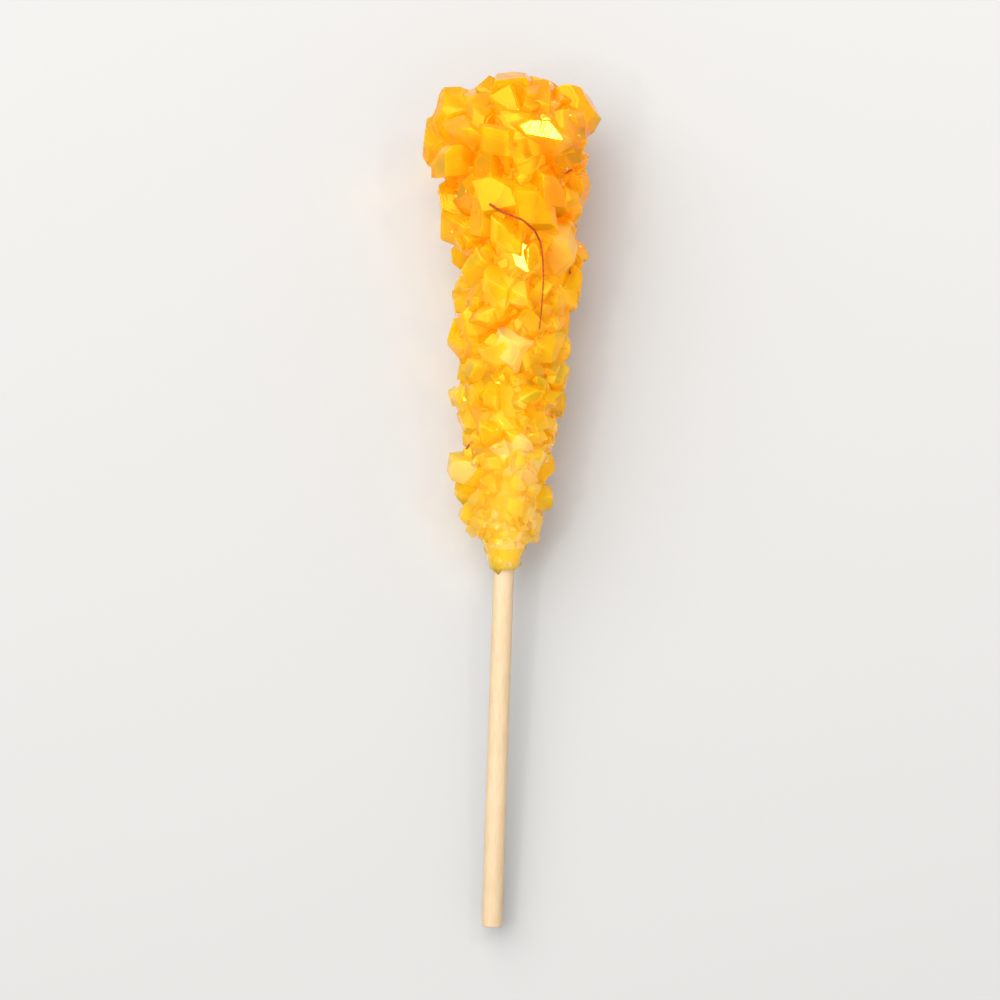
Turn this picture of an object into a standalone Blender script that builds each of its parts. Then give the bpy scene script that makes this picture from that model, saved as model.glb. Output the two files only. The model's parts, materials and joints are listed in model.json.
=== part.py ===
"""Rock candy stick: saffron yellow sugar crystals grown round one end of a rolled paper stick, lying down.

Units are metres and +Z is up. A place on the stick is a station, the distance along the stick from its bare
end, and a bearing, the angle round the stick from its right side (+X) towards its top. The candy widens from
its neck to its head, and it lies on that sloping side, so the bare end of the stick is nearly on the ground.
"""

import math
import random

import bmesh
import bpy
from mathutils import Matrix, Vector

# The stick is rolled from paper.
STICK_LENGTH = 0.150
STICK_RADIUS = 0.0020
STICK_EDGE = 0.00015
STICK_SIDES = 48

# The outline of the candy: how far the tips of its crystals reach from the middle of the stick, by station.
OUTLINE = (
    (0.0665, 0.0026),
    (0.0700, 0.0034),
    (0.0735, 0.0058),
    (0.0780, 0.0070),
    (0.0850, 0.0083),
    (0.0960, 0.0097),
    (0.1080, 0.0106),
    (0.1220, 0.0114),
    (0.1350, 0.0124),
    (0.1460, 0.0134),
    (0.1520, 0.0122),
    (0.1562, 0.0080),
    (0.1576, 0.0000),
)

# Solid sugar fills the middle, from the neck to the head: the same two measures.
CORE = (
    (0.0665, 0.0000),
    (0.0665, 0.0026),
    (0.0700, 0.0034),
    (0.0735, 0.0048),
    (0.0780, 0.0058),
    (0.0960, 0.0078),
    (0.1220, 0.0086),
    (0.1460, 0.0090),
    (0.1520, 0.0080),
    (0.1546, 0.0050),
    (0.1554, 0.0000),
)
CORE_SIDES = 24
BORE_GAP = 0.0003
BORE_SIDES = 24
BORE_RUN_OUT = 0.002  # how far the bore's cutter starts outside the neck

# A sugar crystal is a tablet: its width and depth as shares of its length, how far it leans, and the planes
# that cut its corners.
CRYSTAL_WIDTH = 0.90
CRYSTAL_DEPTH = 0.64
CRYSTAL_LEAN = 0.20
ROOF_PITCH = math.radians(60)
ROOF_DISTANCE = 0.49
RAMP_PITCH = math.radians(42)
RAMP_DISTANCE = 0.49

# Crystals sit in rings, small at the neck and large at the head. Shares are of a crystal's length.
FIRST_RING = 0.0716
LAST_RING = 0.1564
SMALLEST_CRYSTAL = 0.0036
LARGEST_CRYSTAL = 0.0108
RING_STEP = 0.74
SPACING_AROUND = 0.88
GROWN_IN = 0.25
FEWEST_AROUND = 5
SHIFT = 0.24
SIZE_SPREAD = 0.20
SHAPE_SPREAD = 0.14
TILT_SPREAD = math.radians(34)
DEEPEST_TIP = -0.0012
HIGHEST_TIP = 0.0003
SEED = 5

# Crystals that stand clear of their neighbours: station, bearing in degrees, length, and how far their tips
# stand past the outline.
OUTSTANDING_CRYSTALS = (
    # the left side, from the neck to the head
    (0.0770, 184, 0.0048, 0.0010),
    (0.0845, 177, 0.0096, 0.0026),
    (0.0985, 184, 0.0068, 0.0010),
    (0.1085, 174, 0.0082, 0.0008),
    (0.1160, 186, 0.0070, 0.0000),
    (0.1300, 172, 0.0104, 0.0016),
    (0.1450, 170, 0.0150, 0.0020),
    # the right side
    (0.0755, 356, 0.0046, 0.0004),
    (0.0850, 6, 0.0066, 0.0002),
    (0.0970, 352, 0.0070, 0.0006),
    (0.1030, 10, 0.0074, 0.0006),
    (0.1090, 354, 0.0080, 0.0004),
    (0.1165, 6, 0.0072, 0.0010),
    (0.1245, 354, 0.0086, 0.0014),
    (0.1255, 36, 0.0104, 0.0010),
    (0.1380, 2, 0.0092, 0.0008),
    (0.1490, 16, 0.0104, 0.0002),
    # the upper side
    (0.1070, 88, 0.0078, 0.0006),
    (0.1180, 104, 0.0086, 0.0002),
    (0.1330, 72, 0.0108, 0.0004),
    (0.1350, 108, 0.0112, 0.0002),
    (0.1450, 112, 0.0120, 0.0004),
    (0.1465, 66, 0.0120, 0.0002),
    # the end of the head
    (0.1568, 110, 0.0110, 0.0008),
    (0.1564, 40, 0.0104, 0.0000),
    (0.1566, 250, 0.0104, 0.0000),
    (0.1564, 320, 0.0096, 0.0000),
    # the side it lies on
    (0.0880, 268, 0.0078, 0.0014),
    (0.1010, 248, 0.0086, 0.0018),
    (0.1020, 292, 0.0086, 0.0018),
    (0.1210, 254, 0.0090, 0.0014),
    (0.1230, 290, 0.0090, 0.0014),
    (0.1420, 250, 0.0110, 0.0018),
    (0.1430, 290, 0.0110, 0.0018),
)

# How it lies: the slope of the stick, and the height of its middle at the bare end.
STICK_SLOPE = math.radians(4.0)
BARE_END_HEIGHT = 0.0038
GROUND_SIZE = 0.3
GROUND_DEPTH = 0.02
FOOTPRINT_SHIFT_X = 0.0011
FOOTPRINT_SHIFT_Y = 0.0790

ALONG = Vector((0, 1, 0))
SLOPE_STEP = 0.0015
NECK = OUTLINE[0][0]
HEAD = OUTLINE[-1][0]


def clear_scene():
    for old in list(bpy.data.objects):
        bpy.data.objects.remove(old, do_unlink=True)


def new_collection(name):
    made = bpy.data.collections.new(name)
    bpy.context.scene.collection.children.link(made)
    return made


def finish(name, colour, roughness):
    """A plain, slightly glossy material."""
    made = bpy.data.materials.new(name)
    made.use_nodes = True
    shader = made.node_tree.nodes["Principled BSDF"]
    shader.inputs["Base Color"].default_value = (*colour, 1)
    shader.inputs["Roughness"].default_value = roughness
    shader.inputs["Metallic"].default_value = 0
    return made


def reach_at(station):
    """The outline's reach at a station, on straight lines between the stations of OUTLINE."""
    for (low, near), (high, far) in zip(OUTLINE, OUTLINE[1:]):
        if station <= high:
            share = max(0.0, (station - low) / (high - low))
            return near + share * (far - near)
    return 0.0


def outward(station, bearing):
    """The direction from the stick to a place on the outline, and the direction the outline faces there."""
    around = Vector((math.cos(bearing), 0, math.sin(bearing)))
    slope = (reach_at(station + SLOPE_STEP) - reach_at(station - SLOPE_STEP)) / (2 * SLOPE_STEP)
    return around, (around - slope * ALONG).normalized()


def crystal_mesh():
    """A leaning tablet of length 1 along Z, with a roof at each end and one ramp down each broad side."""
    bm = bmesh.new()
    bmesh.ops.create_cube(bm, size=1)
    bmesh.ops.scale(bm, vec=(CRYSTAL_WIDTH, CRYSTAL_DEPTH, 1), verts=bm.verts)
    roof = Vector((math.sin(ROOF_PITCH), 0, math.cos(ROOF_PITCH)))
    ramp = Vector((0, math.sin(RAMP_PITCH), math.cos(RAMP_PITCH)))
    mirrored_roof = Vector((-roof.x, 0, roof.z))
    cuts = [(roof, ROOF_DISTANCE), (mirrored_roof, ROOF_DISTANCE), (ramp, RAMP_DISTANCE)]
    for normal, distance in cuts:
        for facing in (normal, -normal):
            everything = bm.verts[:] + bm.edges[:] + bm.faces[:]
            bmesh.ops.bisect_plane(
                bm, geom=everything, plane_co=facing * distance, plane_no=facing, clear_outer=True
            )
            bmesh.ops.holes_fill(bm, edges=[edge for edge in bm.edges if edge.is_boundary])
    lean = Matrix.Identity(4)
    lean[0][1] = CRYSTAL_LEAN
    bmesh.ops.transform(bm, matrix=lean, verts=bm.verts)
    bmesh.ops.recalc_face_normals(bm, faces=bm.faces)
    mesh = bpy.data.meshes.new("sugar_crystal")
    bm.to_mesh(mesh)
    bm.free()
    return mesh


def crystal_length(station):
    share = (station - FIRST_RING) / (LAST_RING - FIRST_RING)
    return SMALLEST_CRYSTAL + share * (LARGEST_CRYSTAL - SMALLEST_CRYSTAL)


def ringed_crystals(rng):
    """Station, bearing, length and height past the outline of each crystal, ring by ring from the neck."""
    station = FIRST_RING
    while station <= LAST_RING:
        length = crystal_length(station)
        around = 2 * math.pi * max(0.0, reach_at(station) - GROWN_IN * length)
        count = max(FEWEST_AROUND, round(around / (SPACING_AROUND * length)))
        turn = rng.uniform(0, 2 * math.pi)
        for place in range(count):
            at = min(HEAD, station + rng.uniform(-SHIFT, SHIFT) * length)
            bearing = turn + (place + rng.uniform(-SHIFT, SHIFT)) * 2 * math.pi / count
            this_length = length * rng.uniform(1 - SIZE_SPREAD, 1 + SIZE_SPREAD)
            yield at, bearing, this_length, rng.uniform(DEEPEST_TIP, HIGHEST_TIP)
        station += RING_STEP * length


def place_crystal(name, mesh, collection, axis, rng, station, bearing, length, past):
    """One crystal growing out of the core, its tip past the outline, leaning a little at random."""
    around, out = outward(station, bearing)
    aside = Vector((rng.uniform(-1, 1), rng.uniform(-1, 1), rng.uniform(-1, 1))).normalized()
    growth = out.copy()
    growth.rotate(Matrix.Rotation(rng.uniform(0, TILT_SPREAD), 3, aside))
    middle = station * ALONG + around * reach_at(station) + out * (past - length / 2)
    spin = Matrix.Rotation(rng.uniform(0, 2 * math.pi), 4, "Z")
    wider = rng.uniform(1 - SHAPE_SPREAD, 1 + SHAPE_SPREAD)
    deeper = rng.uniform(1 - SHAPE_SPREAD, 1 + SHAPE_SPREAD)
    made = bpy.data.objects.new(name, mesh)
    made.matrix_local = (
        Matrix.Translation(middle)
        @ growth.to_track_quat("Z", "Y").to_matrix().to_4x4()
        @ spin
        @ Matrix.Diagonal((length * wider, length * deeper, length, 1))
    )
    as_cutter(made, collection, axis)


def as_cutter(cutter, collection, parent=None):
    """Puts a helper shape in the cutters' collection, where it isn't part of the object."""
    for old in cutter.users_collection:
        old.objects.unlink(cutter)
    collection.objects.link(cutter)
    cutter.parent = parent
    cutter.hide_render = True
    cutter.display_type = "WIRE"
    return cutter


def sugar_core(axis, collection):
    """Solid sugar from the neck to the head, turned about the stick."""
    mesh = bpy.data.meshes.new("rock_candy")
    mesh.from_pydata(
        [(radius, station, 0) for station, radius in reversed(CORE)],
        [(n, n + 1) for n in range(len(CORE) - 1)],
        [],
    )
    core = bpy.data.objects.new("rock_candy", mesh)
    collection.objects.link(core)
    core.parent = axis
    turn = core.modifiers.new("turned", "SCREW")
    turn.axis = "Y"
    turn.steps = turn.render_steps = CORE_SIDES
    turn.use_merge_vertices = True
    turn.merge_threshold = 0.00001
    turn.use_normal_calculate = True
    return core


def add_boolean(target, operation, cutter=None, cutters=None):
    made = target.modifiers.new(operation.lower(), "BOOLEAN")
    made.operation = operation
    if cutters:
        made.operand_type = "COLLECTION"
        made.collection = cutters
    else:
        made.object = cutter


def rod(name, radius, start, end, sides, axis):
    """A round bar along the stick's line, from one station to another."""
    bpy.ops.mesh.primitive_cylinder_add(vertices=sides, radius=radius, depth=end - start)
    made = bpy.context.object
    made.name = name
    made.data.name = name
    made.parent = axis
    made.rotation_euler = (-math.pi / 2, 0, 0)
    made.location = (0, (start + end) / 2, 0)
    return made


def paper_stick(axis, collection):
    stick = rod("paper_stick", STICK_RADIUS, 0, STICK_LENGTH, STICK_SIDES, axis)
    for old in stick.users_collection:
        old.objects.unlink(stick)
    collection.objects.link(stick)
    edge = stick.modifiers.new("rounded_ends", "BEVEL")
    edge.width = STICK_EDGE
    edge.segments = 2
    stick.data.shade_smooth()
    stick.data.set_sharp_from_angle(angle=math.radians(40))
    stick.data.materials.append(finish("cream_paper", (0.93, 0.84, 0.70), 0.6))


def rock_candy(axis, parts, cutters):
    """The crystals joined to their core, bored for the stick and worn flat where they rest on the ground."""
    rng = random.Random(SEED)
    crystals = new_collection("crystals")
    mesh = crystal_mesh()
    places = list(ringed_crystals(rng))
    places += [(at, math.radians(turn), length, reach) for at, turn, length, reach in OUTSTANDING_CRYSTALS]
    for number, place in enumerate(places):
        place_crystal(f"crystal_{number:03d}", mesh, crystals, axis, rng, *place)

    candy = sugar_core(axis, parts)
    candy.data.materials.append(finish("saffron_sugar", (0.97, 0.49, 0.01), 0.15))
    add_boolean(candy, "UNION", cutters=crystals)

    mouth = NECK - BORE_RUN_OUT
    blind_end = STICK_LENGTH + BORE_GAP
    bore = rod("bore", STICK_RADIUS + BORE_GAP, mouth, blind_end, BORE_SIDES, axis)
    add_boolean(candy, "DIFFERENCE", cutter=as_cutter(bore, cutters, axis))

    bpy.ops.mesh.primitive_cube_add(size=1, location=(0, 0, -GROUND_DEPTH / 2))
    ground = bpy.context.object
    ground.name = "ground"
    ground.scale = (GROUND_SIZE, GROUND_SIZE, GROUND_DEPTH)
    add_boolean(candy, "DIFFERENCE", cutter=as_cutter(ground, cutters))


def main():
    clear_scene()
    parts = new_collection("rock_candy_stick")
    cutters = new_collection("cutters")
    axis = bpy.data.objects.new("stick_axis", None)
    parts.objects.link(axis)
    axis.location = (FOOTPRINT_SHIFT_X, -FOOTPRINT_SHIFT_Y, BARE_END_HEIGHT)
    axis.rotation_euler = (STICK_SLOPE, 0, 0)
    paper_stick(axis, parts)
    rock_candy(axis, parts, cutters)


main()
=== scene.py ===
# %% [markdown]
# # A stick of saffron rock candy
# Rock candy grows on a stick that hangs in strong sugar syrup. Over about a week the sugar leaves the syrup
# and settles on the stick as crystals, small where the syrup runs out and large where it stays rich. This
# lesson grows such a cluster in Blender: first the frame and the light, then one crystal on its own,
# then hundreds of copies joined into one clear solid, and last the saffron and the paper stick.

# %% The frame
import json
import math
import random

import bpy
from mathutils import Matrix, Vector

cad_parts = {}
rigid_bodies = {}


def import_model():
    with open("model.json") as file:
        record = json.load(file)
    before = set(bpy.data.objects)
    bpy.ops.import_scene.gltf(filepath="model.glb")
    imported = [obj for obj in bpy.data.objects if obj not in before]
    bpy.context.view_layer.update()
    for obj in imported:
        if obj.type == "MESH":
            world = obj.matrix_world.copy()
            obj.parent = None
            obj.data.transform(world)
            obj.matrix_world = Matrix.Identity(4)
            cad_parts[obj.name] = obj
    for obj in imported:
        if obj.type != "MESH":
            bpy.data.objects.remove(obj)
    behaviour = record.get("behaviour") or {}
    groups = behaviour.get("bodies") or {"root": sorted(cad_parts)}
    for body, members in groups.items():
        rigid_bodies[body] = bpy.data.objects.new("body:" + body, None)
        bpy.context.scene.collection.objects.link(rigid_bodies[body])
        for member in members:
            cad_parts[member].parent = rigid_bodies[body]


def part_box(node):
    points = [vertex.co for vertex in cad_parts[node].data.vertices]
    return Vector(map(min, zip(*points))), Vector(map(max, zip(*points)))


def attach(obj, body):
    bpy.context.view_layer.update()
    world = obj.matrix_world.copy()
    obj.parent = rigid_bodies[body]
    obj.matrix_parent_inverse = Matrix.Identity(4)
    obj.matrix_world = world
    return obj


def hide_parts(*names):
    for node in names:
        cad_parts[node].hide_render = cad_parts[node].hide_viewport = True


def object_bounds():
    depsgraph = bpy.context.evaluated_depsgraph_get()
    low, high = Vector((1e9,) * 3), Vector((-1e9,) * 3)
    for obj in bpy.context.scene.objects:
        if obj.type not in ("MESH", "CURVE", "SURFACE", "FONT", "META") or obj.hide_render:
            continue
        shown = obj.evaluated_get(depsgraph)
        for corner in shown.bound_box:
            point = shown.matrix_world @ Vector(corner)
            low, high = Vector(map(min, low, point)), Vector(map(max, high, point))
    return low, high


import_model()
cad_low, cad_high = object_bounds()
print("the solid model measures", [round(side * 1000, 1) for side in cad_high - cad_low], "mm")

# %% [markdown]
# Everything on this object sits round the stick, so the stick is found first. The solid stick is a round bar
# that slopes a little, because the candy is thick at its head and thin at its neck. Its box gives its radius
# and its bare end. From here on a place is a *station*, a distance along the stick from its bare end, and a
# *bearing*, an angle round the stick that starts at the right and turns towards the top.

# %% The stick's line
STICK_SLOPE = math.radians(4.0)
stick_low, stick_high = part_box("paper_stick")
STICK_RADIUS = (stick_high.x - stick_low.x) / 2
BARE_END = Vector((
    (stick_low.x + stick_high.x) / 2,
    stick_low.y + STICK_RADIUS * math.sin(STICK_SLOPE),
    stick_low.z + STICK_RADIUS * math.cos(STICK_SLOPE),
))
STICK_LENGTH = (stick_high.y - BARE_END.y - STICK_RADIUS * math.sin(STICK_SLOPE)) / math.cos(STICK_SLOPE)
STICK_LINE = Matrix.Translation(BARE_END) @ Matrix.Rotation(STICK_SLOPE, 4, "X")
ALONG = Vector((0, 1, 0))
print("stick", round(STICK_LENGTH * 1000, 1), "mm long,", round(STICK_RADIUS * 2000, 2), "mm thick")

# %% [markdown]
# ## The camera and the light
# The sweet is seen from straight above, from about three quarters of a metre, so a long lens fills the frame
# without bending its shape. The stick leans a degree or two, as it was put down by hand.

# %% The camera
VIEW_HEIGHT = 0.76
VIEW_BACK = 0.021
VIEW_LEAN = math.radians(1.9)
LENS = 146
NEAREST_SEEN = 0.05
middle = (cad_low + cad_high) / 2


def aimed_at_middle(place):
    """The matrix of a camera or a lamp at a place, turned to the middle of the sweet."""
    turn = (middle - place).to_track_quat("-Z", "Y")
    return Matrix.Translation(place) @ turn.to_matrix().to_4x4()


eye = Vector((middle.x, middle.y - VIEW_BACK, VIEW_HEIGHT))
camera = bpy.data.objects.new("camera", bpy.data.cameras.new("camera"))
bpy.context.scene.collection.objects.link(camera)
camera.matrix_world = aimed_at_middle(eye) @ Matrix.Rotation(VIEW_LEAN, 4, "Z")
camera.data.lens = LENS
camera.data.clip_start = NEAREST_SEEN
bpy.context.scene.camera = camera
print("camera", [round(value, 3) for value in eye], "lens", LENS)

# %% [markdown]
# Clear sugar shows what is around it more than itself: it needs a wide, bright room to glow, and small lamps
# for its facets to mirror as sparkles. A white room and one broad lamp do the first, and two small lamps do
# the second. The floor is a grey that this much light lifts to nearly white. The view is set to plain
# *Standard* colour, as the soft film look would wash out so strong a yellow.

# %% The floor and the lamps
FLOOR_SIZE = 4
FLOOR_GREY = (0.265, 0.261, 0.254)
FLOOR_ROUGHNESS = 0.7
BROAD_LAMP_SIZE = 1.3
BROAD_LAMP_WATTS = 30.0
SMALL_LAMP_SIZE = 0.06
SMALL_LAMP_WATTS = 0.7
ROOM_BRIGHTNESS = 1.25


def plain_material(name, colour, roughness):
    made = bpy.data.materials.new(name)
    made.use_nodes = True
    shader = made.node_tree.nodes["Principled BSDF"]
    shader.inputs["Base Color"].default_value = (*colour, 1)
    shader.inputs["Roughness"].default_value = roughness
    return made


def lamp(name, place, size, watts):
    """A square soft lamp that points at the middle of the sweet."""
    data = bpy.data.lights.new(name, "AREA")
    data.size = size
    data.energy = watts
    made = bpy.data.objects.new(name, data)
    bpy.context.scene.collection.objects.link(made)
    made.matrix_world = aimed_at_middle(Vector(place))
    return made


bpy.ops.object.select_all(action="DESELECT")
bpy.ops.mesh.primitive_plane_add(size=FLOOR_SIZE)
floor = bpy.context.object
floor.name = "floor"
floor.data.materials.append(plain_material("pale_floor", FLOOR_GREY, FLOOR_ROUGHNESS))

lamp("broad_lamp", (-0.50, 0.55, 0.90), BROAD_LAMP_SIZE, BROAD_LAMP_WATTS)
lamp("right_glint", (0.30, 0.30, 0.62), SMALL_LAMP_SIZE, SMALL_LAMP_WATTS)
lamp("left_glint", (-0.34, -0.10, 0.60), SMALL_LAMP_SIZE, SMALL_LAMP_WATTS)

world = bpy.data.worlds.new("white_room")
world.use_nodes = True
world.node_tree.nodes["Background"].inputs["Color"].default_value = (1, 1, 1, 1)
world.node_tree.nodes["Background"].inputs["Strength"].default_value = ROOM_BRIGHTNESS
bpy.context.scene.world = world
bpy.context.scene.view_settings.view_transform = "Standard"

# %% [markdown]
# ## Helpers
# An operator acts on whatever is selected, so each step first says what that is. Faces are chosen by where
# they look: one whose normal is nearly an axis counts as square to it.

# %% Choosing and finishing
SQUARE_TO_AXIS = 0.9


def choose(piece):
    """Select one object alone and make it the active one."""
    if bpy.context.object and bpy.context.object.mode != "OBJECT":
        bpy.ops.object.mode_set(mode="OBJECT")
    bpy.ops.object.select_all(action="DESELECT")
    piece.select_set(True)
    bpy.context.view_layer.objects.active = piece


def edit(piece, part="VERT"):
    """Open one object in edit mode with all of it selected."""
    choose(piece)
    bpy.ops.object.mode_set(mode="EDIT")
    bpy.ops.mesh.select_mode(type=part)
    bpy.ops.mesh.select_all(action="SELECT")


def select_faces(piece, wanted):
    """In edit mode, leave only the faces selected for which wanted(face) is true."""
    bpy.ops.mesh.select_mode(type="FACE")
    bpy.ops.mesh.select_all(action="DESELECT")
    bpy.ops.object.mode_set(mode="OBJECT")
    for face in piece.data.polygons:
        face.select = wanted(face)
    bpy.ops.object.mode_set(mode="EDIT")


def settle(piece):
    """Put the object's place, turn and size into its mesh."""
    choose(piece)
    bpy.ops.object.transform_apply(location=True, rotation=True, scale=True)


def apply_modifiers(piece):
    choose(piece)
    for modifier in list(piece.modifiers):
        bpy.ops.object.modifier_apply(modifier=modifier.name)


def triangles(piece):
    return sum(len(face.vertices) - 2 for face in piece.data.polygons)


print("helpers ready")

# %% [markdown]
# ## One crystal
# A sugar crystal is a leaning tablet. Its two ends are cut like a roof, one corner of each broad side slopes
# away, and its faces rise in shallow steps, because each new layer of sugar starts in the middle of a face.
# A cube and a few slices give that shape exactly. Its edges are chamfered, as they are in a crystal that was
# rinsed when it left the syrup, and the chamfers catch the light as thin bright lines. A UV map laid on each
# face from the side it looks to goes with every copy, so that fine growth lines can follow the crystal later.

# %% The tablet
CRYSTAL_WIDTH = 0.90
CRYSTAL_DEPTH = 0.64
CRYSTAL_LEAN = 0.20
ROOF_PITCH = math.radians(60)
ROOF_DISTANCE = 0.49
RAMP_PITCH = math.radians(42)
RAMP_DISTANCE = 0.49
CORNER_PITCH = math.radians(52)
STEP_INSET = 0.07
STEP_HEIGHT = 0.016
JUST_UNDER = 0.002
CHAMFER = 0.024


def slice_off(normal, distance):
    """In edit mode, cut the crystal along a plane and close the cut with a flat face."""
    bpy.ops.mesh.select_all(action="SELECT")
    bpy.ops.mesh.bisect(plane_co=normal * distance, plane_no=normal, use_fill=True, clear_outer=True)


def raise_step(crystal, wanted):
    """Grow one more layer on the chosen faces: a smaller face, lifted a little."""
    select_faces(crystal, wanted)
    bpy.ops.mesh.inset(thickness=STEP_INSET, use_individual=True)
    bpy.ops.mesh.extrude_region_shrink_fatten(TRANSFORM_OT_shrink_fatten={"value": STEP_HEIGHT})


def finish_crystal(made):
    """Chamfer the edges and lay the UV map."""
    bpy.ops.mesh.select_all(action="SELECT")
    bpy.ops.mesh.bevel(offset=CHAMFER, offset_type="OFFSET", segments=1, affect="EDGES", clamp_overlap=True)
    bpy.ops.mesh.normals_make_consistent(inside=False)
    bpy.ops.uv.cube_project(cube_size=1, scale_to_bounds=False)
    bpy.ops.object.mode_set(mode="OBJECT")
    made.data.uv_layers.active.name = "growth"
    made.hide_render = True


def tablet(name, width, depth, corners, steps):
    """A crystal of length 1 along Z.

    corners lists more cuts across its upper end, each with a bearing in degrees and a distance from the
    middle. steps is how many layers stand on its broad faces.
    """
    bpy.ops.object.select_all(action="DESELECT")
    bpy.ops.mesh.primitive_cube_add(size=1)
    made = bpy.context.object
    made.name = made.data.name = name
    made.scale = (width, depth, 1)
    settle(made)
    edit(made)
    roof_normal = Vector((math.sin(ROOF_PITCH), 0, math.cos(ROOF_PITCH)))
    other_roof = Vector((-roof_normal.x, 0, roof_normal.z))
    ramp_normal = Vector((0, math.sin(RAMP_PITCH), math.cos(RAMP_PITCH)))
    for normal, distance in ((roof_normal, ROOF_DISTANCE), (other_roof, ROOF_DISTANCE),
                             (ramp_normal, RAMP_DISTANCE)):
        slice_off(normal, distance)
        slice_off(-normal, distance)
    for bearing, distance in corners:
        across = math.radians(bearing)
        level = math.sin(CORNER_PITCH)
        corner_normal = Vector((level * math.cos(across), level * math.sin(across), math.cos(CORNER_PITCH)))
        slice_off(corner_normal, distance)
    for layer in range(steps):
        broad = depth / 2 + layer * STEP_HEIGHT - JUST_UNDER
        raise_step(made, lambda face: abs(face.center.y) > broad and abs(face.normal.y) > SQUARE_TO_AXIS)
    finish_crystal(made)
    for vertex in made.data.vertices:
        vertex.co.x += CRYSTAL_LEAN * vertex.co.y
    return made


large_forms = [
    tablet("stepped_tablet", CRYSTAL_WIDTH, CRYSTAL_DEPTH, ((48, 0.44),), 2),
    tablet("plain_tablet", CRYSTAL_WIDTH, CRYSTAL_DEPTH, ((-40, 0.42), (150, 0.46)), 0),
    tablet("one_step_tablet", CRYSTAL_WIDTH, CRYSTAL_DEPTH, ((130, 0.43),), 1),
    tablet("thin_blade", 1.10 * CRYSTAL_WIDTH, 0.72 * CRYSTAL_DEPTH, ((25, 0.44), (-155, 0.45)), 1),
    tablet("blunt_prism", 0.92 * CRYSTAL_WIDTH, 1.16 * CRYSTAL_DEPTH, ((60, 0.40), (-75, 0.44)), 0),
]
print("large forms:", {form.name: triangles(form) for form in large_forms}, "triangles")

# %% [markdown]
# The small crystals between them were crowded while they grew, so none has its full shape. A shard is a flat
# block with a few planes cut off it at random.

# %% The shards
SHARD_WIDTH = 0.86
SHARD_DEPTH = 0.56
SHARD_CUTS = 6
SHARD_CUT_DISTANCE = (0.22, 0.40)
SHARD_FORMS = 6
shard_rng = random.Random(11)


def shard(name):
    """A broken crystal of length 1 along Z."""
    bpy.ops.object.select_all(action="DESELECT")
    bpy.ops.mesh.primitive_cube_add(size=1)
    made = bpy.context.object
    made.name = made.data.name = name
    made.scale = (SHARD_WIDTH, SHARD_DEPTH, 1)
    settle(made)
    edit(made)
    for _ in range(SHARD_CUTS):
        normal = Vector((shard_rng.gauss(0, 1), shard_rng.gauss(0, 1), shard_rng.gauss(0, 1)))
        slice_off(normal.normalized(), shard_rng.uniform(*SHARD_CUT_DISTANCE))
    finish_crystal(made)
    return made


small_forms = [shard(f"shard_{number}") for number in range(SHARD_FORMS)]
print("small forms:", {form.name: triangles(form) for form in small_forms}, "triangles")

# %% [markdown]
# ## Where crystals grow
# The cluster has an outline like a carrot. Crystals stand in rings round the stick, each ring with crystals
# as long as that part of the outline grows, and each crystal is shifted, turned and tilted at random. The
# largest lumps and the single crystals that stand clear are listed one by one, since they give this sweet its
# own look. The rings and the listed crystals are laid out, with the same random draws, as in the solid
# model.

# %% The outline
OUTLINE = (
    (0.0665, 0.0026),
    (0.0700, 0.0034),
    (0.0735, 0.0058),
    (0.0780, 0.0070),
    (0.0850, 0.0083),
    (0.0960, 0.0097),
    (0.1080, 0.0106),
    (0.1220, 0.0114),
    (0.1350, 0.0124),
    (0.1460, 0.0134),
    (0.1520, 0.0122),
    (0.1562, 0.0080),
    (0.1576, 0.0000),
)
CORE = (
    (0.0665, 0.0026),
    (0.0700, 0.0034),
    (0.0735, 0.0048),
    (0.0780, 0.0058),
    (0.0960, 0.0078),
    (0.1220, 0.0086),
    (0.1460, 0.0090),
    (0.1520, 0.0080),
    (0.1546, 0.0050),
)
SLOPE_STEP = 0.0015
NECK = OUTLINE[0][0]
HEAD = OUTLINE[-1][0]


def reach_at(station):
    """How far the tips reach from the middle of the stick at a station."""
    for (low, near), (high, far) in zip(OUTLINE, OUTLINE[1:]):
        if station <= high:
            share = max(0.0, (station - low) / (high - low))
            return near + share * (far - near)
    return 0.0


def outward(station, bearing):
    """Straight away from the stick at a bearing, and straight out of the outline there."""
    around = Vector((math.cos(bearing), 0, math.sin(bearing)))
    slope = (reach_at(station + SLOPE_STEP) - reach_at(station - SLOPE_STEP)) / (2 * SLOPE_STEP)
    return around, (around - slope * ALONG).normalized()


print("the candy runs from station", NECK * 1000, "to", HEAD * 1000, "mm")

# %% [markdown]
# A ring has as many crystals as fit round the stick side by side, and the next ring starts a part of a
# crystal's length further on. Each crystal is then shifted by a random share of its length, which hides the
# order. A fixed seed gives the same candy every time.

# %% The rings of crystals
FIRST_RING = 0.0716
LAST_RING = 0.1564
SMALLEST_CRYSTAL = 0.0036
LARGEST_CRYSTAL = 0.0108
RING_STEP = 0.74
SPACING_AROUND = 0.88
GROWN_IN = 0.25
FEWEST_AROUND = 5
SHIFT = 0.24
SIZE_SPREAD = 0.20
SHAPE_SPREAD = 0.14
TILT_SPREAD = math.radians(34)
DEEPEST_TIP = -0.0012
HIGHEST_TIP = 0.0003
SEED = 5


def crystal_length(station):
    share = (station - FIRST_RING) / (LAST_RING - FIRST_RING)
    return SMALLEST_CRYSTAL + share * (LARGEST_CRYSTAL - SMALLEST_CRYSTAL)


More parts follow.
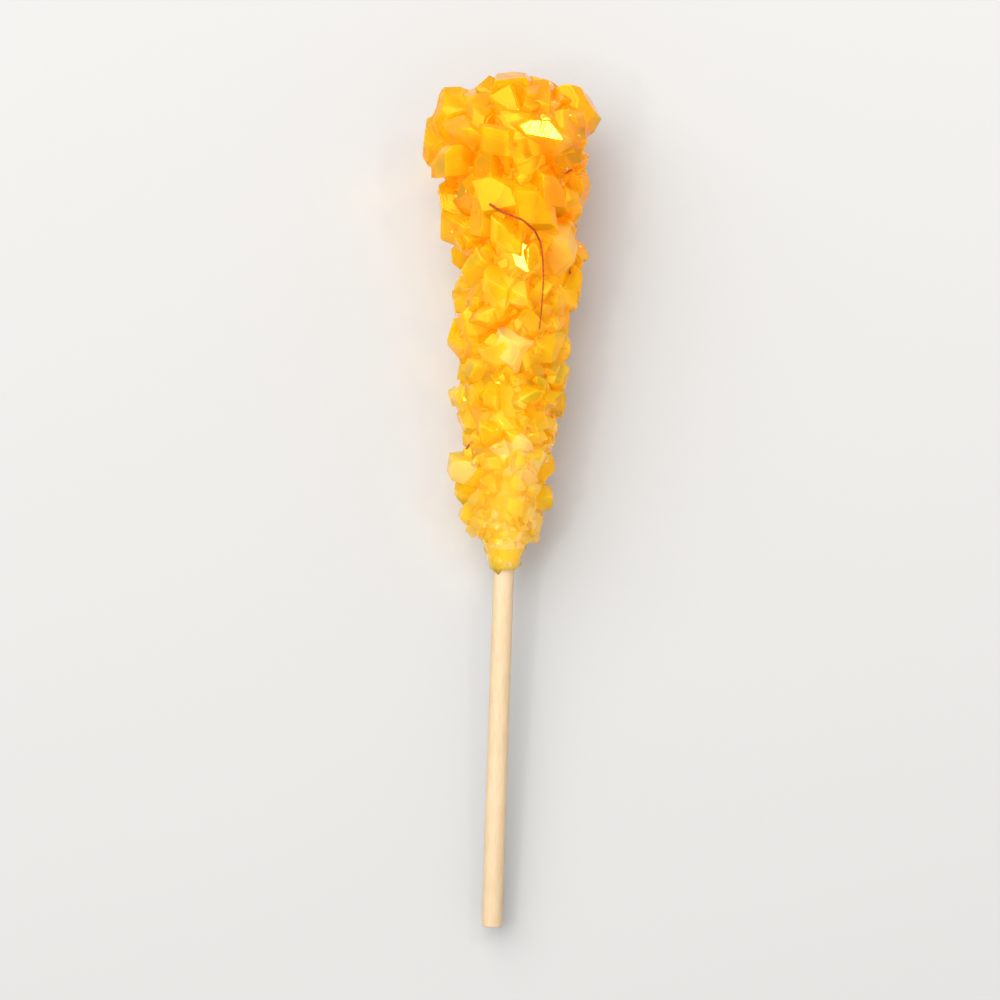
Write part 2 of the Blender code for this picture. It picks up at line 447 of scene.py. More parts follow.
def ringed_crystals(rng):
    """Station, bearing, length and height past the outline of each crystal, ring by ring from the neck."""
    station = FIRST_RING
    while station <= LAST_RING:
        length = crystal_length(station)
        around = 2 * math.pi * max(0.0, reach_at(station) - GROWN_IN * length)
        count = max(FEWEST_AROUND, round(around / (SPACING_AROUND * length)))
        turn = rng.uniform(0, 2 * math.pi)
        for place in range(count):
            at = min(HEAD, station + rng.uniform(-SHIFT, SHIFT) * length)
            bearing = turn + (place + rng.uniform(-SHIFT, SHIFT)) * 2 * math.pi / count
            this_length = length * rng.uniform(1 - SIZE_SPREAD, 1 + SIZE_SPREAD)
            yield at, bearing, this_length, rng.uniform(DEEPEST_TIP, HIGHEST_TIP)
        station += RING_STEP * length


print("crystals grow from", SMALLEST_CRYSTAL * 1000, "mm at the neck to", LARGEST_CRYSTAL * 1000, "at the head")

# %% [markdown]
# No two sticks grow alike. This one has a large lump at the left of its head, a single crystal that stands
# clear low on the left with a waist above it, and a stepped right side. Its largest crystals are listed one by
# one, side by side as they are met on the way from the neck to the head.

# %% The crystals that stand out
# Each is a station, a bearing in degrees, a length, and how far its tip stands past the outline.
OUTSTANDING_CRYSTALS = (
    # the left side, from the neck to the head
    (0.0770, 184, 0.0048, 0.0010),
    (0.0845, 177, 0.0096, 0.0026),
    (0.0985, 184, 0.0068, 0.0010),
    (0.1085, 174, 0.0082, 0.0008),
    (0.1160, 186, 0.0070, 0.0000),
    (0.1300, 172, 0.0104, 0.0016),
    (0.1450, 170, 0.0150, 0.0020),
    # the right side
    (0.0755, 356, 0.0046, 0.0004),
    (0.0850, 6, 0.0066, 0.0002),
    (0.0970, 352, 0.0070, 0.0006),
    (0.1030, 10, 0.0074, 0.0006),
    (0.1090, 354, 0.0080, 0.0004),
    (0.1165, 6, 0.0072, 0.0010),
    (0.1245, 354, 0.0086, 0.0014),
    (0.1255, 36, 0.0104, 0.0010),
    (0.1380, 2, 0.0092, 0.0008),
    (0.1490, 16, 0.0104, 0.0002),
    # the upper side
    (0.1070, 88, 0.0078, 0.0006),
    (0.1180, 104, 0.0086, 0.0002),
    (0.1330, 72, 0.0108, 0.0004),
    (0.1350, 108, 0.0112, 0.0002),
    (0.1450, 112, 0.0120, 0.0004),
    (0.1465, 66, 0.0120, 0.0002),
    # the end of the head
    (0.1568, 110, 0.0110, 0.0008),
    (0.1564, 40, 0.0104, 0.0000),
    (0.1566, 250, 0.0104, 0.0000),
    (0.1564, 320, 0.0096, 0.0000),
    # the side it lies on
    (0.0880, 268, 0.0078, 0.0014),
    (0.1010, 248, 0.0086, 0.0018),
    (0.1020, 292, 0.0086, 0.0018),
    (0.1210, 254, 0.0090, 0.0014),
    (0.1230, 290, 0.0090, 0.0014),
    (0.1420, 250, 0.0110, 0.0018),
    (0.1430, 290, 0.0110, 0.0018),
)
print(len(OUTSTANDING_CRYSTALS), "crystals placed by hand")

# %% [markdown]
# A crystal is set with its tip just past the outline and its root in the core. Each copy keeps a *tone*, a
# number from 0 to 1 on its faces. Some crystals of a cluster are clearer and some are cloudier, and the sugar
# material later reads the tone to tell them apart. Two crystals are milky right through, so their tone is
# given. A few crystals that the solid model doesn't have fill out the two edges.

# %% Growing the cluster
SIDE_CRYSTALS = (
    # a few more along the edges: on the left from the neck to the large lump, then on the right
    (0.0738, 184, 0.0046, 0.0012),
    (0.0768, 178, 0.0048, 0.0020),
    (0.0806, 182, 0.0052, 0.0020),
    (0.1350, 178, 0.0082, 0.0018),
    (0.1415, 158, 0.0086, 0.0030),
    (0.1448, 178, 0.0092, 0.0040),
    (0.1500, 160, 0.0090, 0.0034),
    (0.1470, 140, 0.0080, 0.0022),
    (0.0728, 354, 0.0036, 0.0012),
    (0.0802, 4, 0.0048, 0.0012),
    (0.1196, 2, 0.0062, 0.0014),
    (0.1252, 350, 0.0066, 0.0016),
    (0.1525, 10, 0.0084, 0.0016),
)
CLOUDIEST = 0.945
MILKY_CRYSTALS = {(0.1070, 88): 1.0, (0.1255, 36): 0.94}
rng = random.Random(SEED)
tone_rng = random.Random(SEED + 1)
crystals = bpy.data.collections.new("crystals")
bpy.context.scene.collection.children.link(crystals)


def set_tone(mesh, tone):
    attribute = mesh.attributes.new("tone", "FLOAT", "FACE")
    attribute.data.foreach_set("value", [tone] * len(mesh.polygons))


def plant(form, middle_place, growth, spin, size, tone):
    """A copy of a crystal form, with its own mesh, standing in the cluster."""
    made = bpy.data.objects.new(form.name, form.data.copy())
    crystals.objects.link(made)
    made.data.transform(
        STICK_LINE
        @ Matrix.Translation(middle_place)
        @ growth.to_track_quat("Z", "Y").to_matrix().to_4x4()
        @ Matrix.Rotation(spin, 4, "Z")
        @ Matrix.Diagonal((*size, 1))
    )
    set_tone(made.data, tone)


def place_crystal(rng, forms, station, bearing, length, past, tone=None):
    """One crystal growing out of the core, its tip past the outline, leaning a little at random."""
    around, out = outward(station, bearing)
    aside = Vector((rng.uniform(-1, 1), rng.uniform(-1, 1), rng.uniform(-1, 1))).normalized()
    growth = out.copy()
    growth.rotate(Matrix.Rotation(rng.uniform(0, TILT_SPREAD), 3, aside))
    root = station * ALONG + around * reach_at(station) + out * (past - length / 2)
    spin = rng.uniform(0, 2 * math.pi)
    wider = rng.uniform(1 - SHAPE_SPREAD, 1 + SHAPE_SPREAD)
    deeper = rng.uniform(1 - SHAPE_SPREAD, 1 + SHAPE_SPREAD)
    form = forms[tone_rng.randrange(len(forms))]
    if tone is None:
        tone = tone_rng.uniform(0, CLOUDIEST)
    plant(form, root, growth, spin, (length * wider, length * deeper, length), tone)


for place in ringed_crystals(rng):
    place_crystal(rng, large_forms, *place)
for station, turn, length, past in OUTSTANDING_CRYSTALS:
    tone = MILKY_CRYSTALS.get((station, turn))
    place_crystal(rng, large_forms, station, math.radians(turn), length, past, tone)
for station, turn, length, past in SIDE_CRYSTALS:
    place_crystal(rng, large_forms, station, math.radians(turn), length, past)

# %% [markdown]
# Between the large crystals, many small ones start late and stay small. They sit lower, in the gaps, so they
# roughen the valleys and leave the large faces clean.

# %% Small crystals in the gaps
SMALL_COUNT = 640
SMALLEST_COPY = 0.0022
SMALL_SHARE = (0.32, 0.66)
SMALL_TIP = (-0.0028, 0.0000)
NECK_COUNT = 130
NECK_RUN = (0.0670, 0.0770)
NECK_LENGTH = (0.0016, 0.0034)
NECK_TIP = (-0.0004, 0.0005)
GOLDEN_TURN = math.pi * (3 - math.sqrt(5))
small_rng = random.Random(SEED + 2)


def between(ends, share):
    return ends[0] + share * (ends[1] - ends[0])


for number in range(SMALL_COUNT):
    share = (number + small_rng.random()) / SMALL_COUNT
    station = between((FIRST_RING, HEAD), share)
    bearing = number * GOLDEN_TURN + small_rng.uniform(-SHIFT, SHIFT)
    length = max(SMALLEST_COPY, crystal_length(station) * small_rng.uniform(*SMALL_SHARE))
    place_crystal(small_rng, small_forms, station, bearing, length, small_rng.uniform(*SMALL_TIP))
for number in range(NECK_COUNT):
    station = between(NECK_RUN, (number + small_rng.random()) / NECK_COUNT)
    bearing = number * GOLDEN_TURN + small_rng.uniform(-SHIFT, SHIFT)
    length = small_rng.uniform(*NECK_LENGTH)
    place_crystal(small_rng, small_forms, station, bearing, length, small_rng.uniform(*NECK_TIP))

# %% [markdown]
# ## The solid sugar
# Inside, the crystals have grown together into solid sugar, and at the neck this sugar runs out in a smooth
# cone where syrup wicked up the paper. A circle extruded from station to station, and resized at each, makes
# it. The candy is then joined by a Boolean union. Clear sugar must be one closed skin: walls left inside it
# would bend the light as cracks do.

# %% The core
CORE_SIDES = 48


def turned_core():
    (first, first_radius), *rest = CORE
    bpy.ops.object.select_all(action="DESELECT")
    bpy.ops.mesh.primitive_circle_add(vertices=CORE_SIDES, radius=first_radius, fill_type="NGON",
                                      location=(0, first, 0), rotation=(math.pi / 2, 0, 0))
    core = bpy.context.object
    core.name = core.data.name = "rock_candy_crystals"
    settle(core)
    edit(core, "FACE")
    previous, before = first, first_radius
    for station, radius in rest:
        bpy.ops.mesh.extrude_region_move(TRANSFORM_OT_translate={"value": (0, station - previous, 0)})
        bpy.ops.transform.resize(value=(radius / before, 1, radius / before),
                                 center_override=(0, station, 0))
        previous, before = station, radius
    bpy.ops.mesh.select_all(action="SELECT")
    bpy.ops.mesh.normals_make_consistent(inside=False)
    bpy.ops.object.mode_set(mode="OBJECT")
    core.data.transform(STICK_LINE)
    set_tone(core.data, 0.5)
    return core


candy = turned_core()
print("core", triangles(candy), "triangles", [round(side * 1000, 1) for side in candy.dimensions])

# %% [markdown]
# A union of hundreds of crystals needs a solver that works on whole solids, so the *Manifold* one is used. It
# is fast, keeps the tone and the UV map of each crystal, and gives back one closed skin.

# %% The union
join = candy.modifiers.new("grown_together", "BOOLEAN")
join.operation = "UNION"
join.operand_type = "COLLECTION"
join.collection = crystals
join.solver = "MANIFOLD"
apply_modifiers(candy)
for crystal in list(crystals.objects) + large_forms + small_forms:
    bpy.data.objects.remove(crystal, do_unlink=True)
bpy.data.collections.remove(crystals)
print("joined candy", triangles(candy), "triangles")

# %% [markdown]
# The candy lies on its side, and the tips that touch the table are worn flat. Taking a block as large as the
# table out of the mesh does that. Any crystal that ended up on its own is dropped.

# %% Worn flat where it lies
TABLE_BLOCK = 0.5
FACET_ANGLE = math.radians(18)
bpy.ops.object.select_all(action="DESELECT")
bpy.ops.mesh.primitive_cube_add(size=TABLE_BLOCK, location=(0, 0, -TABLE_BLOCK / 2))
table = bpy.context.object
settle(table)
cut = candy.modifiers.new("worn_flat", "BOOLEAN")
cut.operation = "DIFFERENCE"
cut.object = table
cut.solver = "MANIFOLD"
apply_modifiers(candy)
bpy.data.objects.remove(table, do_unlink=True)

edit(candy)
bpy.ops.mesh.separate(type="LOOSE")
bpy.ops.object.mode_set(mode="OBJECT")
*loose, candy = sorted(bpy.context.selected_objects, key=triangles)
for bit in loose:
    bpy.data.objects.remove(bit, do_unlink=True)
candy.name = candy.data.name = "rock_candy_crystals"
choose(candy)
bpy.ops.object.shade_smooth_by_angle(angle=FACET_ANGLE)
lowest = min(vertex.co.z for vertex in candy.data.vertices)
print("lowest point", lowest, "and", len(loose), "loose bits dropped")

# %% [markdown]
# ## The sugar material
# A material is a tree of nodes. Most trees here need the same few steps: a node with its numbers set, a sum, a
# colour ramp, a range stretched over another. A helper for each keeps the recipes short.

# %% Node helpers
def new_material(name):
    made = bpy.data.materials.new(name)
    made.use_nodes = True
    tree = made.node_tree
    return made, tree, tree.nodes["Principled BSDF"]


def node(tree, kind, **settings):
    """Add a node, set its properties and its unlinked sockets, and return it."""
    made = tree.nodes.new("ShaderNode" + kind)
    for name, value in settings.items():
        if hasattr(made, name):
            setattr(made, name, value)
        else:
            made.inputs[name.replace("_", " ").title()].default_value = value
    return made


def wire(tree, *pairs):
    for source, target in pairs:
        tree.links.new(source, target)


def maths(tree, operation, first, second):
    """A Math node with each side a socket or a number."""
    made = tree.nodes.new("ShaderNodeMath")
    made.operation = operation
    for place, value in enumerate((first, second)):
        if isinstance(value, (int, float)):
            made.inputs[place].default_value = value
        else:
            tree.links.new(value, made.inputs[place])
    return made.outputs["Value"]


def ramp(tree, factor, *stops):
    """A colour ramp through (position, colour) stops."""
    made = tree.nodes.new("ShaderNodeValToRGB")
    elements = made.color_ramp.elements
    while len(elements) < len(stops):
        elements.new(0.5)
    for element, (position, colour) in zip(elements, stops):
        element.position = position
        element.color = (*colour, 1)
    tree.links.new(factor, made.inputs["Fac"])
    return made.outputs["Color"]


def spread(tree, value, low, high):
    """Stretch a 0 to 1 value over low to high."""
    made = tree.nodes.new("ShaderNodeMapRange")
    made.inputs["To Min"].default_value = low
    made.inputs["To Max"].default_value = high
    tree.links.new(value, made.inputs["Value"])
    return made.outputs["Result"]


print("node helpers ready")

# %% [markdown]
# Saffron sugar is clear but never perfectly so. Light goes in and is bent by the facets, some of it is
# scattered by tiny bubbles under the surface, and all of it is tinted. So one shader has a share of
# transmission, a share of scattering and a deep yellow, and absorption in the volume deepens the yellow where
# the sugar is thick. The colour runs from pale at the thin neck to deep saffron in the head.
#
# Four patterns make it uneven. The tone of each crystal sets how frosted and how pale it is, and the cloudiest
# are milky. A soft noise clouds the sugar. Cells as large as a small crystal change its depth of colour, like
# the planes inside it where crystals met. Fine growth lines run over each facet, bumped from the UV map that
# came with each copy.

# %% Saffron sugar
SUGAR_IOR = 1.54
CLEAR_SHARE = 0.70
CLOUD_DRIFT = 0.5
TONE_DRIFT = -0.22
CELL_DRIFT = 0.8
MILKY_YELLOW = (1.0, 0.60, 0.16, 1)
NECK_Y = (STICK_LINE @ (NECK * ALONG)).y
HEAD_Y = (STICK_LINE @ (HEAD * ALONG)).y


def saffron_sugar():
    made, tree, shader = new_material("clear_saffron_sugar")
    shader.inputs["Transmission Weight"].default_value = CLEAR_SHARE
    shader.inputs["IOR"].default_value = SUGAR_IOR
    # The specular tint paints the sugar's reflections golden: a painted reflection of golden surroundings,
    # since the room here is white.
    shader.inputs["Specular Tint"].default_value = (1.0, 0.72, 0.07, 1)
    shader.inputs["Subsurface Weight"].default_value = 1.0
    shader.inputs["Subsurface Radius"].default_value = (1.0, 0.45, 0.06)
    shader.inputs["Subsurface Scale"].default_value = 0.030
    haze = tree.nodes.new("ShaderNodeVolumeAbsorption")
    haze.inputs["Color"].default_value = (1.0, 0.72, 0.0, 1)
    haze.inputs["Density"].default_value = 25
    wire(tree, (haze.outputs["Volume"], tree.nodes["Material Output"].inputs["Volume"]))

    place = tree.nodes.new("ShaderNodeTexCoord")
    tone = node(tree, "Attribute", attribute_name="tone")
    clouds = node(tree, "TexNoise", scale=160, detail=3)
    cells = node(tree, "TexVoronoi", scale=230)
    split = tree.nodes.new("ShaderNodeSeparateXYZ")
    wire(tree, (place.outputs["Object"], clouds.inputs["Vector"]),
         (place.outputs["Object"], cells.inputs["Vector"]),
         (place.outputs["Object"], split.inputs["Vector"]))

    along = tree.nodes.new("ShaderNodeMapRange")
    along.inputs["From Min"].default_value = NECK_Y
    along.inputs["From Max"].default_value = HEAD_Y
    wire(tree, (split.outputs["Y"], along.inputs["Value"]))
    by_cloud = maths(tree, "MULTIPLY", maths(tree, "SUBTRACT", clouds.outputs["Fac"], 0.5), CLOUD_DRIFT)
    by_tone = maths(tree, "MULTIPLY", maths(tree, "SUBTRACT", tone.outputs["Fac"], 0.5), TONE_DRIFT)
    by_cell = maths(tree, "MULTIPLY", maths(tree, "SUBTRACT", cells.outputs["Color"], 0.5), CELL_DRIFT)
    shifts = maths(tree, "ADD", maths(tree, "ADD", by_cloud, by_tone), by_cell)
    where = maths(tree, "ADD", along.outputs["Result"], shifts)
    colour = ramp(tree, where,
                  (0.00, (1.0, 0.64, 0.20)),
                  (0.12, (1.0, 0.56, 0.050)),
                  (0.45, (1.0, 0.50, 0.010)),
                  (0.72, (1.0, 0.45, 0.005)),
                  (1.00, (1.0, 0.37, 0.003)))
    pale = ramp(tree, tone.outputs["Fac"], (0.93, (0, 0, 0)), (0.95, (1, 1, 1)))
    mixed = node(tree, "Mix", data_type="RGBA")
    mixed.inputs["B"].default_value = MILKY_YELLOW
    wire(tree, (pale, mixed.inputs["Factor"]), (colour, mixed.inputs["A"]))
    wire(tree, (mixed.outputs["Result"], shader.inputs["Base Color"]))

    frost = maths(tree, "MULTIPLY", tone.outputs["Fac"], clouds.outputs["Fac"])
    wire(tree, (spread(tree, frost, 0.04, 0.20), shader.inputs["Roughness"]))

    face = node(tree, "UVMap", uv_map="growth")
    lines = node(tree, "TexWave", bands_direction="DIAGONAL", scale=3.2, distortion=5.0, detail=2.0)
    wire(tree, (face.outputs["UV"], lines.inputs["Vector"]))
    pits = node(tree, "TexNoise", scale=700, detail=4)
    wire(tree, (place.outputs["Object"], pits.inputs["Vector"]))
    relief = maths(tree, "ADD", maths(tree, "MULTIPLY", lines.outputs["Fac"], 0.6), pits.outputs["Fac"])
    bump = node(tree, "Bump", strength=0.12, distance=0.00025)
    wire(tree, (relief, bump.inputs["Height"]), (bump.outputs["Normal"], shader.inputs["Normal"]))
    return made


sugar = saffron_sugar()
candy.data.materials.clear()
candy.data.materials.append(sugar)
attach(candy, "root")
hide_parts("rock_candy")
print("sugar material:", len(sugar.node_tree.nodes), "nodes")

# %% [markdown]
# ## Sugar grains
# When the stick is lifted out, the last syrup dries as grains on the crystals. They are half a millimetre or
# less, and only sparkle. One grain is a cube with its corners planed off. Each copy is dropped on the candy by
# a ray that runs from outside towards the stick, and sinks in by a third.

# %% Grains on the surface
GRAIN_COUNT = 90
GRAIN_SIZE = (0.00025, 0.0005)
GRAIN_CORNER = 0.3
PAST_NECK = 0.002
FAR_OUT = 0.05


def candy_hit(station, bearing):
    """Where a ray from outside to the stick meets the candy, and the direction that faces out there."""
    around = Vector((math.cos(bearing), 0, math.sin(bearing)))
    start = STICK_LINE @ (station * ALONG + FAR_OUT * around)
    heading = STICK_LINE.to_3x3() @ -around
    found, place, normal, _ = candy.ray_cast(start, heading)
    return (place, normal) if found else (None, None)


def grain_form():
    bpy.ops.object.select_all(action="DESELECT")
    bpy.ops.mesh.primitive_cube_add(size=1)
    made = bpy.context.object
    edit(made)
    bpy.ops.mesh.bevel(offset=GRAIN_CORNER, affect="VERTICES", segments=1)
    bpy.ops.object.mode_set(mode="OBJECT")
    return made


def join_pieces(name, pieces):
    """Join several meshes into one piece."""
    bpy.ops.object.select_all(action="DESELECT")
    for piece in pieces:
        piece.select_set(True)
    bpy.context.view_layer.objects.active = pieces[0]
    if len(pieces) > 1:
        bpy.ops.object.join()
    joined = bpy.context.object
    joined.name = joined.data.name = name
    return joined


def sparkling_sugar():
    """Light crosses so little sugar in a grain that its own tint is deeper than the crystals' is."""
    made, tree, shader = new_material("sparkling_sugar")
    shader.inputs["Transmission Weight"].default_value = 0.5
    shader.inputs["Subsurface Weight"].default_value = 1.0
    shader.inputs["Subsurface Scale"].default_value = 0.001
    place = tree.nodes.new("ShaderNodeTexCoord")
    patches = node(tree, "TexNoise", scale=400)
    wire(tree, (place.outputs["Object"], patches.inputs["Vector"]),
         (ramp(tree, patches.outputs["Fac"], (0.35, (1.0, 0.34, 0.006)), (0.65, (1.0, 0.46, 0.04))),
          shader.inputs["Base Color"]),
         (spread(tree, patches.outputs["Fac"], 0.05, 0.30), shader.inputs["Roughness"]))
    return made


bpy.context.view_layer.update()
form = grain_form()
grains = []
for number in range(GRAIN_COUNT):
    station = small_rng.uniform(NECK + PAST_NECK, HEAD)
    bearing = small_rng.uniform(0, 2 * math.pi)
    size = small_rng.uniform(*GRAIN_SIZE)
    turn = Vector((small_rng.random(), small_rng.random(), small_rng.random())) * math.pi
    place, normal = candy_hit(station, bearing)
    if place is None or place.z < size:
        continue
    grain = bpy.data.objects.new("grain", form.data.copy())
    bpy.context.scene.collection.objects.link(grain)
    spin = Matrix.Identity(4)
    for angle, axis in zip(turn, "XYZ"):
        spin = spin @ Matrix.Rotation(angle, 4, axis)
    grain.data.transform(Matrix.Translation(place + normal * size / 6) @ spin @ Matrix.Scale(size, 4))
    grains.append(grain)
bpy.data.objects.remove(form, do_unlink=True)
grains = join_pieces("sugar_grains", grains)
grains.data.materials.clear()
grains.data.materials.append(sparkling_sugar())
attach(grains, "root")
print("grains:", triangles(grains), "triangles")

# %% [markdown]
# ## Saffron
# A few threads of saffron go into the syrup and stay caught in the sugar. A thread is the dried stigma of a
# crocus: a dark red ribbon that is thin at one end, opens like a trumpet at the other, and curls. The long one
# here lies over the crystals in a hook. It is a curve laid through points that a ray finds on the sugar, and
# its thickness changes from point to point.

# %% The threads
THREAD_ROUTE = (
    (-0.0048, 0.1362),
    (-0.0034, 0.1353),
    (-0.0018, 0.1346),
    (0.0013, 0.1334),
    (0.0036, 0.1317),
    (0.0048, 0.1296),
    (0.0053, 0.1265),
    (0.0055, 0.1230),
    (0.0054, 0.1190),
    (0.0052, 0.1154),
    (0.0050, 0.1137),
)
THREAD_RADIUS = 0.00019
THREAD_TAPER = (1.3, 0.6)
THREAD_STEPS = 6
THREAD_REACH = 3
# Each short thread is a place aside of the stick and along it, a heading in radians and half a length.
SHORT_THREADS = (
    (0.0094, 0.1431, 0.5, 0.0008),
    (0.0103, 0.1254, 1.9, 0.0006),
    (-0.0071, 0.0925, 0.9, 0.0009),
)


def top_of_sugar(aside, station):
    """The highest sugar at a place seen from above: aside of the stick, and along it."""
    over = STICK_LINE @ Vector((aside, station, FAR_OUT))
    found, place, normal, _ = candy.ray_cast(over, Vector((0, 0, -1)))
    return place if found else over


def thread(name, places, radii):
    """A thread through places, with a radius at each."""
    curve = bpy.data.curves.new(name, "CURVE")
    curve.dimensions = "3D"
    curve.bevel_depth = 1.0
    curve.bevel_resolution = 2
    curve.resolution_u = 6
    curve.use_fill_caps = True
    line = curve.splines.new("NURBS")
    line.points.add(len(places) - 1)
    line.order_u = 4
    line.use_endpoint_u = True
    for point, place, radius in zip(line.points, places, radii):
        point.co = (*place, 1)
        point.radius = radius
    made = bpy.data.objects.new(name, curve)
    bpy.context.scene.collection.objects.link(made)
    choose(made)
    bpy.ops.object.convert(target="MESH")
    return bpy.context.object


def average(numbers):
    return sum(numbers) / len(numbers)


def long_thread():
    """A thread over the crystals: it lies on the high ones and hangs a little between them."""
    places = []
    for (aside, station), (next_aside, next_station) in zip(THREAD_ROUTE, THREAD_ROUTE[1:]):
        for step in range(THREAD_STEPS):
            share = step / THREAD_STEPS
            across = between((aside, next_aside), share)
            along = between((station, next_station), share)
            places.append(top_of_sugar(across, along))
    for reach, spread_out in ((THREAD_REACH, max), (THREAD_REACH + 1, average)):
        heights = [place.z for place in places]
        for number, place in enumerate(places):
            place.z = spread_out(heights[max(0, number - reach):number + reach + 1])
    radii = [THREAD_RADIUS * between(THREAD_TAPER, number / len(places)) for number in range(len(places))]
    return thread("long", places, radii)


def short_thread(aside, station, heading, half):
    """A straight scrap of thread that swells in its first half."""
    middle_place = top_of_sugar(aside, station)
    step = Vector((math.cos(heading), math.sin(heading), 0)) * half
    places = [middle_place - step, middle_place - step / 3, middle_place + step / 3, middle_place + step]
    return thread("short", places, [THREAD_RADIUS, THREAD_RADIUS * 1.3, THREAD_RADIUS, THREAD_RADIUS * 0.6])


threads = join_pieces("saffron_threads", [long_thread()] + [short_thread(*each) for each in SHORT_THREADS])
print("threads:", triangles(threads), "triangles")

# %% [markdown]
# Dried saffron is matt and fibrous, and so dark that only its lighter fibres look red. A very fine noise gives
# both the colour and a slight roughness.

# %% Saffron red
def saffron_red():
    made, tree, shader = new_material("saffron_red")
    shader.inputs["Roughness"].default_value = 0.75
    shader.inputs["Specular IOR Level"].default_value = 0.2
    place = tree.nodes.new("ShaderNodeTexCoord")
    fibres = node(tree, "TexNoise", scale=2600, detail=5)
    wire(tree, (place.outputs["Object"], fibres.inputs["Vector"]))
    colour = ramp(tree, fibres.outputs["Fac"], (0.3, (0.10, 0.010, 0.001)), (0.7, (0.30, 0.045, 0.003)))
    bump = node(tree, "Bump", strength=0.5, distance=0.0001)
    wire(tree, (colour, shader.inputs["Base Color"]), (fibres.outputs["Fac"], bump.inputs["Height"]),
         (bump.outputs["Normal"], shader.inputs["Normal"]))
    return made


threads.data.materials.append(saffron_red())
bpy.ops.object.shade_smooth()
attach(threads, "root")
print("saffron material ready")

# %% [markdown]
# ## The paper stick
# Sticks like this are sheets of paper wound tight from one edge. The outer edge shows as a fine seam along the
# stick, and the end shows the turns as fine rings. The stick is a cylinder with rounded rims whose end faces
# are inset and pressed in and out, turn after turn. Once round the stick its radius shrinks by the thickness
# of the paper, so that it steps back out at one line, and that step is the seam.

# %% The wound stick
STICK_SIDES = 96
SEAM_DEPTH = 0.00016
END_ROUNDING = 0.00018
TURNS_SHOWN = 4
TURN_GROOVE = 0.00012
TURN_WIDTH = STICK_RADIUS / (2 * TURNS_SHOWN + 3)
SEAM_BEARING = math.radians(65)
ROUND_ANGLE = math.radians(35)


def looks_along_stick(face):
    return abs(face.normal.y) > SQUARE_TO_AXIS


def paper_stick():
    bpy.ops.object.select_all(action="DESELECT")
    bpy.ops.mesh.primitive_cylinder_add(vertices=STICK_SIDES, radius=STICK_RADIUS, depth=STICK_LENGTH,
                                        location=(0, STICK_LENGTH / 2, 0), rotation=(-math.pi / 2, 0, 0))
    stick = bpy.context.object
    stick.name = stick.data.name = "wound_paper_stick"
    settle(stick)
    edit(stick, "FACE")
    select_faces(stick, looks_along_stick)
    bpy.ops.mesh.bevel(offset=END_ROUNDING, segments=3, affect="EDGES")
    for turn in range(TURNS_SHOWN):
        for depth in (-TURN_GROOVE, TURN_GROOVE):
            select_faces(stick, lambda face: looks_along_stick(face) and len(face.vertices) == STICK_SIDES)
            bpy.ops.mesh.inset(thickness=TURN_WIDTH, depth=depth)
    bpy.ops.object.mode_set(mode="OBJECT")
    for vertex in stick.data.vertices:
        turned = math.atan2(vertex.co.z, vertex.co.x) % (2 * math.pi)
        drawn_in = 1 - SEAM_DEPTH / STICK_RADIUS * turned / (2 * math.pi)
        vertex.co.x *= drawn_in
        vertex.co.z *= drawn_in
    stick.data.transform(STICK_LINE @ Matrix.Rotation(SEAM_BEARING, 4, "Y"))
    choose(stick)
    bpy.ops.object.shade_smooth_by_angle(angle=ROUND_ANGLE)
    return stick


stick = paper_stick()
print("stick:", triangles(stick), "triangles")

# %% [markdown]
# The paper is cream, with fibres that run along the stick and faint blotches. Inside the candy it is soaked
# with clear syrup, and there it shines through the thin sugar of the neck as a pale streak.

# %% Cream paper
FADE_RUN = 0.003
FIBRE_STRETCH = (1, 0.12, 1)
FIBRE_SHARE = 0.6
BLOTCH_SHARE = 0.4
SOAKED_YELLOW = (0.80, 0.54, 0.20, 1)


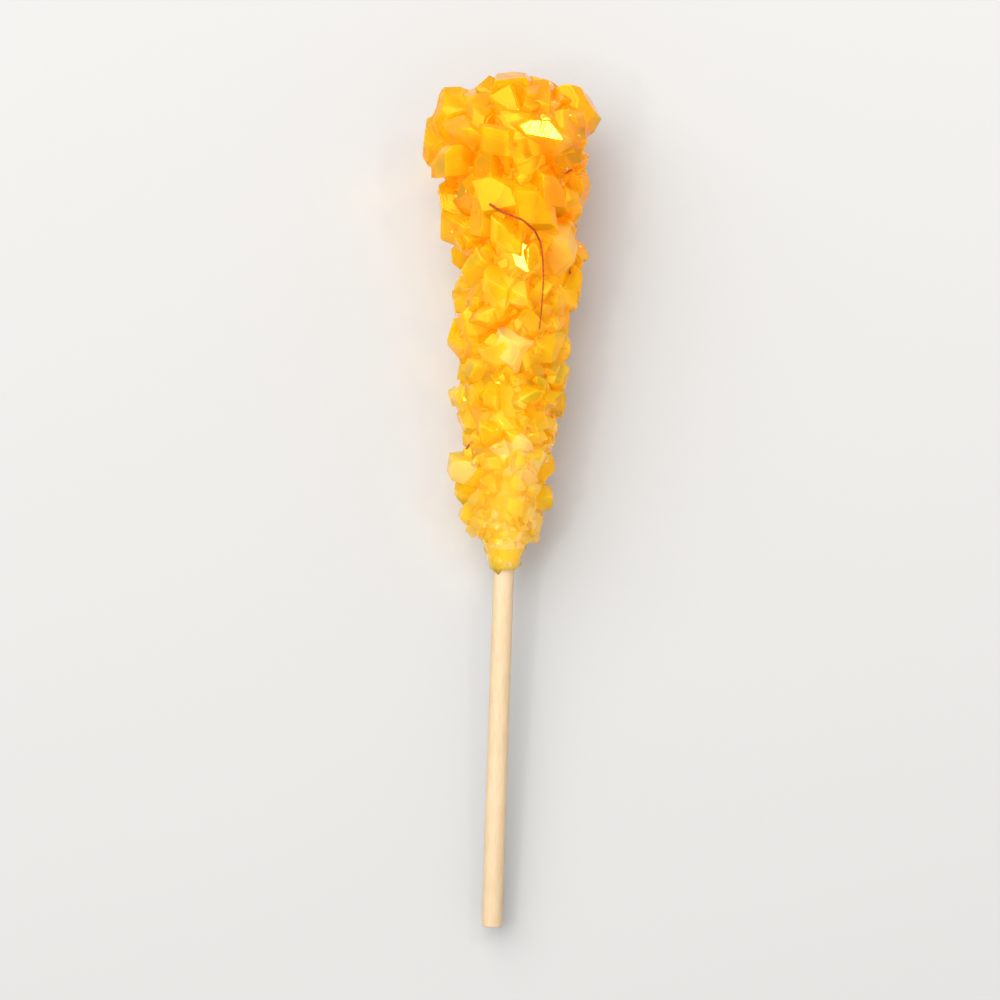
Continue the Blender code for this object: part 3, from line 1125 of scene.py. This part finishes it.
def cream_paper():
    made, tree, shader = new_material("cream_rolled_paper")
    shader.inputs["Subsurface Weight"].default_value = 0.15
    shader.inputs["Subsurface Scale"].default_value = 0.001
    place = tree.nodes.new("ShaderNodeTexCoord")
    stretch = tree.nodes.new("ShaderNodeMapping")
    stretch.inputs["Scale"].default_value = FIBRE_STRETCH
    wire(tree, (place.outputs["Object"], stretch.inputs["Vector"]))
    fibres = node(tree, "TexNoise", scale=2400, detail=5)
    blotches = node(tree, "TexNoise", scale=60, detail=3)
    wire(tree, (stretch.outputs["Vector"], fibres.inputs["Vector"]),
         (place.outputs["Object"], blotches.inputs["Vector"]))
    mixed = maths(tree, "ADD", maths(tree, "MULTIPLY", fibres.outputs["Fac"], FIBRE_SHARE),
                  maths(tree, "MULTIPLY", blotches.outputs["Fac"], BLOTCH_SHARE))
    colour = ramp(tree, mixed, (0.30, (0.33, 0.235, 0.132)), (0.70, (0.40, 0.292, 0.175)))
    split = tree.nodes.new("ShaderNodeSeparateXYZ")
    inside = tree.nodes.new("ShaderNodeMapRange")
    inside.inputs["From Min"].default_value = NECK_Y
    inside.inputs["From Max"].default_value = NECK_Y + FADE_RUN
    mixed_paper = node(tree, "Mix", data_type="RGBA")
    mixed_paper.inputs["B"].default_value = SOAKED_YELLOW
    wire(tree, (place.outputs["Object"], split.inputs["Vector"]),
         (split.outputs["Y"], inside.inputs["Value"]),
         (inside.outputs["Result"], mixed_paper.inputs["Factor"]), (colour, mixed_paper.inputs["A"]))
    bump = node(tree, "Bump", strength=0.3, distance=0.00005)
    wire(tree, (mixed_paper.outputs["Result"], shader.inputs["Base Color"]),
         (spread(tree, fibres.outputs["Fac"], 0.45, 0.70), shader.inputs["Roughness"]),
         (fibres.outputs["Fac"], bump.inputs["Height"]), (bump.outputs["Normal"], shader.inputs["Normal"]))
    return made


stick.data.materials.append(cream_paper())
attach(stick, "root")
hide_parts("paper_stick")
print("paper material ready")

# %% [markdown]
# ## One bright glint
# Clear sugar mirrors a lamp in a single facet as a bright flash. To place one, a level, flat facet near a
# spot on the head is found, the line of sight is mirrored at it, and a small lamp is put where the mirrored
# line ends. The lamp casts no shadow, so it adds the flash alone.

# %% A lamp for the glint
GLINT_SPOT = (0.0084, 0.1470)
GLINT_LEVEL = 0.008
GLINT_DISTANCE = 0.6
GLINT_WATTS = 1.8
SEARCH_STEP = 0.0006
SEARCH_STEPS = 9
LEVEL_ENOUGH = 0.80
FLAT_ACROSS = 0.0010
SAME_WAY = 0.995


def facet_seen(aside, station):
    """The place and the direction of the facet that the camera sees at one spot."""
    eye_place = camera.matrix_world.translation
    sight = (STICK_LINE @ Vector((aside, station, GLINT_LEVEL)) - eye_place).normalized()
    _, facet, facing, _ = candy.ray_cast(eye_place, sight)
    return facet, facing, sight


def flat_enough(aside, station, facing):
    """Whether the facet goes on to each side of the spot."""
    sides = ((FLAT_ACROSS, 0), (-FLAT_ACROSS, 0), (0, FLAT_ACROSS), (0, -FLAT_ACROSS))
    return all(facet_seen(aside + across, station + up)[1].dot(facing) > SAME_WAY for across, up in sides)


steps = range(-SEARCH_STEPS, SEARCH_STEPS + 1)
nearby = sorted(((across, up) for across in steps for up in steps), key=lambda step: math.hypot(*step))
for across, up in nearby:
    spot = (GLINT_SPOT[0] + across * SEARCH_STEP, GLINT_SPOT[1] + up * SEARCH_STEP)
    facet, facing, sight = facet_seen(*spot)
    if facing.z > LEVEL_ENOUGH and flat_enough(*spot, facing):
        break
mirrored = sight - 2 * sight.dot(facing) * facing
glint = lamp("facet_glint", facet + GLINT_DISTANCE * mirrored, SMALL_LAMP_SIZE, GLINT_WATTS)
glint.data.use_shadow = False
print("glint on the facet at", [round(value * 1000, 1) for value in facet], "mm")
